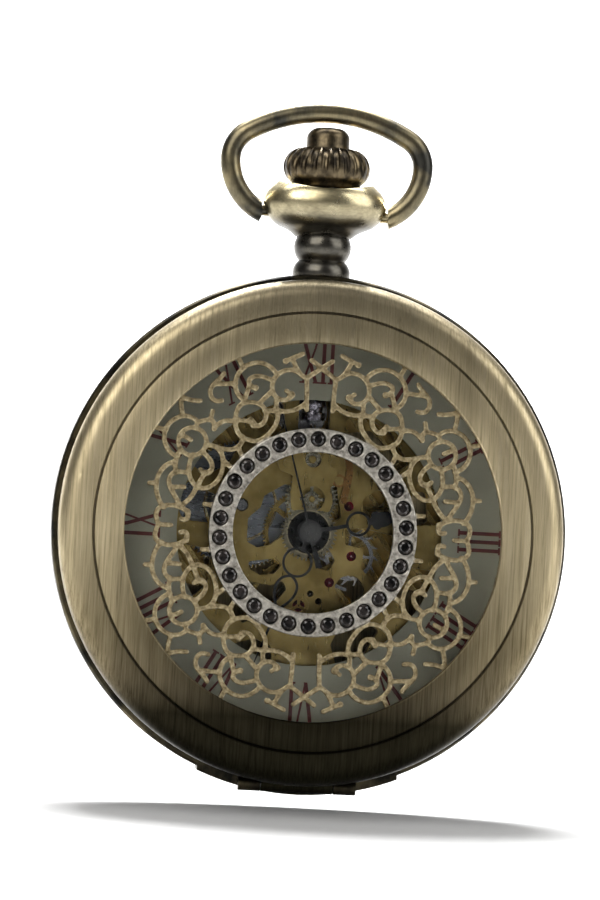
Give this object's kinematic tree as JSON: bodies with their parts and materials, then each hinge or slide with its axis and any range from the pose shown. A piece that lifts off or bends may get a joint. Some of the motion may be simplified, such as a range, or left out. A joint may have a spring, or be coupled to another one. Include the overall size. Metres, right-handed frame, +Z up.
{
  "type": "pocket watch",
  "caption": "Hunter-case pocket watch: hinged lid with a pierced filigree grille and stone ring over a glazed skeleton movement, with a crown and swinging bow.",
  "frame": {"origin": "on the bow's pivot axis, at the middle of the pendant", "axes": "+X to the right seen from the dial side, +Y out of the back, +Z up through the crown; the dial faces -Y"},
  "size_m": [0.0472, 0.0135, 0.0638],
  "materials": {
    "case_brass": "brushed antique brass",
    "dark_brass": "dark patinated brass",
    "cast_bronze": "cast, silvery bronze plating",
    "crystal_glass": "polished",
    "smoky_stone": "faceted",
    "dial_paint": "satin off-white",
    "numeral_paint": "satin maroon",
    "hand_black": "satin black",
    "gilt_brass": "gilt",
    "steel": "polished steel",
    "blue_steel": "dark polished steel",
    "copper_tone": "coppery",
    "ruby": "polished jewel"
  },
  "bodies": {
    "case": {"case_middle": "case_brass", "pendant": "dark_brass", "bezel": "case_brass", "crystal": "crystal_glass", "back_cover": "case_brass", "lid_hinge_pin": "steel", "catch_spring": "steel", "lid_lift_spring": "steel", "case_spring_screws": "steel", "dial_ring": "dial_paint", "dial_numerals": "numeral_paint", "motion_cover": "gilt_brass", "dial_side_screws": "steel", "yoke": "copper_tone", "main_plate": "gilt_brass", "movement_holder": "gilt_brass", "plate_jewels": "ruby", "balance_setting": "gilt_brass", "click_spring": "steel", "pallet_bridge": "gilt_brass", "hairspring": "steel", "balance_cock": "gilt_brass", "regulator": "steel", "barrel_bridge": "gilt_brass", "train_bridge": "gilt_brass", "bridge_jewels": "ruby", "movement_screws": "steel", "case_clamps": "steel"},
    "lid": {"lid_shell": "case_brass", "lid_grille": "cast_bronze", "lid_stones": "smoky_stone"},
    "bow": {"bow": "dark_brass"},
    "catch": {"lid_catch": "steel"},
    "setting_lever": {"setting_lever": "steel"},
    "crown": {"crown": "dark_brass", "winding_stem": "steel"},
    "winding_pinion": {"winding_pinion": "steel", "clutch_wheel": "steel"},
    "crown_wheel": {"crown_wheel": "steel"},
    "winding_idler": {"winding_idler": "steel"},
    "ratchet": {"ratchet_wheel": "steel", "barrel_arbor": "steel"},
    "barrel": {"barrel": "blue_steel", "barrel_cover": "gilt_brass", "mainspring": "steel"},
    "click": {"click": "steel"},
    "centre": {"centre_wheel": "gilt_brass", "cannon_pinion": "steel", "minute_hand": "hand_black"},
    "third": {"third_wheel": "gilt_brass"},
    "fourth": {"fourth_wheel": "gilt_brass", "second_hand": "hand_black"},
    "escape": {"escape_wheel": "steel"},
    "pallet": {"pallet_fork": "steel", "pallet_stones": "ruby"},
    "balance": {"balance_wheel": "gilt_brass"},
    "minute_wheel": {"minute_wheel": "steel"},
    "hour": {"hour_wheel": "gilt_brass", "hour_hand": "hand_black"},
    "setting_wheel": {"setting_wheel": "steel"}
  },
  "joints": [
    {"name": "lid_hinge", "type": "hinge", "parent": "case", "child": "lid", "pos_m": [0, -0.00305, -0.05265], "axis": [1, 0, 0], "range_deg": [0, 95]},
    {"name": "bow_pivot", "type": "hinge", "parent": "case", "child": "bow", "pos_m": [0, 0, 0], "axis": [1, 0, 0], "range_deg": [-100, 100]},
    {"name": "crown_press", "type": "slide", "parent": "case", "child": "catch", "axis": [0, 0, -1], "range_m": [0, 0.0005], "stiffness_N_per_m": 1500},
    {"name": "crown_pull", "type": "slide", "parent": "catch", "child": "setting_lever", "axis": [0, 0, 1], "range_m": [0, 0.00045]},
    {"name": "crown_spin", "type": "hinge", "parent": "setting_lever", "child": "crown", "pos_m": [0, 0, 0], "axis": [0, 0, 1], "continuous": true},
    {"name": "winding_pinion_spin", "type": "hinge", "parent": "case", "child": "winding_pinion", "pos_m": [0, 0, -0.0166], "axis": [0, 0, 1], "continuous": true},
    {"name": "crown_wheel_spin", "type": "hinge", "parent": "case", "child": "crown_wheel", "pos_m": [-0.00098, 0, -0.01829], "axis": [0, 1, 0], "continuous": true},
    {"name": "winding_idler_spin", "type": "hinge", "parent": "case", "child": "winding_idler", "pos_m": [-0.00326, 0, -0.02217], "axis": [0, 1, 0], "continuous": true},
    {"name": "ratchet_spin", "type": "hinge", "parent": "case", "child": "ratchet", "pos_m": [-0.00623, 0, -0.02723], "axis": [0, 1, 0], "continuous": true},
    {"name": "click_pivot", "type": "hinge", "parent": "case", "child": "click", "pos_m": [-0.01082, 0, -0.02891], "axis": [0, 1, 0], "range_deg": [0, 8]},
    {"name": "second_spin", "type": "hinge", "parent": "case", "child": "fourth", "pos_m": [0, 0, -0.0295], "axis": [0, 1, 0], "continuous": true},
    {"name": "minute_spin", "type": "hinge", "parent": "case", "child": "centre", "pos_m": [0, 0, -0.0295], "axis": [0, 1, 0], "continuous": true},
    {"name": "hour_spin", "type": "hinge", "parent": "case", "child": "hour", "pos_m": [0, 0, -0.0295], "axis": [0, 1, 0], "continuous": true},
    {"name": "third_spin", "type": "hinge", "parent": "case", "child": "third", "pos_m": [0.00364, 0, -0.02686], "axis": [0, 1, 0], "continuous": true},
    {"name": "barrel_spin", "type": "hinge", "parent": "case", "child": "barrel", "pos_m": [-0.00623, 0, -0.02723], "axis": [0, 1, 0], "continuous": true},
    {"name": "escape_spin", "type": "hinge", "parent": "case", "child": "escape", "pos_m": [0.00411, 0, -0.03144], "axis": [0, 1, 0], "continuous": true},
    {"name": "minute_wheel_spin", "type": "hinge", "parent": "case", "child": "minute_wheel", "pos_m": [0.00011, 0, -0.02638], "axis": [0, 1, 0], "continuous": true},
    {"name": "setting_wheel_spin", "type": "hinge", "parent": "case", "child": "setting_wheel", "pos_m": [0.00002, 0, -0.02274], "axis": [0, 1, 0], "continuous": true},
    {"name": "pallet_rock", "type": "hinge", "parent": "case", "child": "pallet", "pos_m": [0.0022, 0, -0.03396], "axis": [0, 1, 0], "range_deg": [-2.5, 2.5]},
    {"name": "balance_swing", "type": "hinge", "parent": "case", "child": "balance", "pos_m": [-0.00052, 0, -0.03623], "axis": [0, 1, 0], "range_deg": [-270, 270]}
  ],
  "couplings": [
    {"joint": "winding_pinion_spin", "follows": "crown_spin", "ratio": 1},
    {"joint": "crown_wheel_spin", "follows": "crown_spin", "ratio": -0.61538},
    {"joint": "winding_idler_spin", "follows": "crown_spin", "ratio": 0.68923},
    {"joint": "ratchet_spin", "follows": "crown_spin", "ratio": -0.39161},
    {"joint": "minute_spin", "follows": "second_spin", "ratio": 0.016667},
    {"joint": "hour_spin", "follows": "second_spin", "ratio": 0.0013889},
    {"joint": "third_spin", "follows": "second_spin", "ratio": -0.13333},
    {"joint": "barrel_spin", "follows": "second_spin", "ratio": -0.0022222},
    {"joint": "escape_spin", "follows": "second_spin", "ratio": -10},
    {"joint": "minute_wheel_spin", "follows": "second_spin", "ratio": -0.0055556},
    {"joint": "setting_wheel_spin", "follows": "second_spin", "ratio": 0.01}
  ]
}
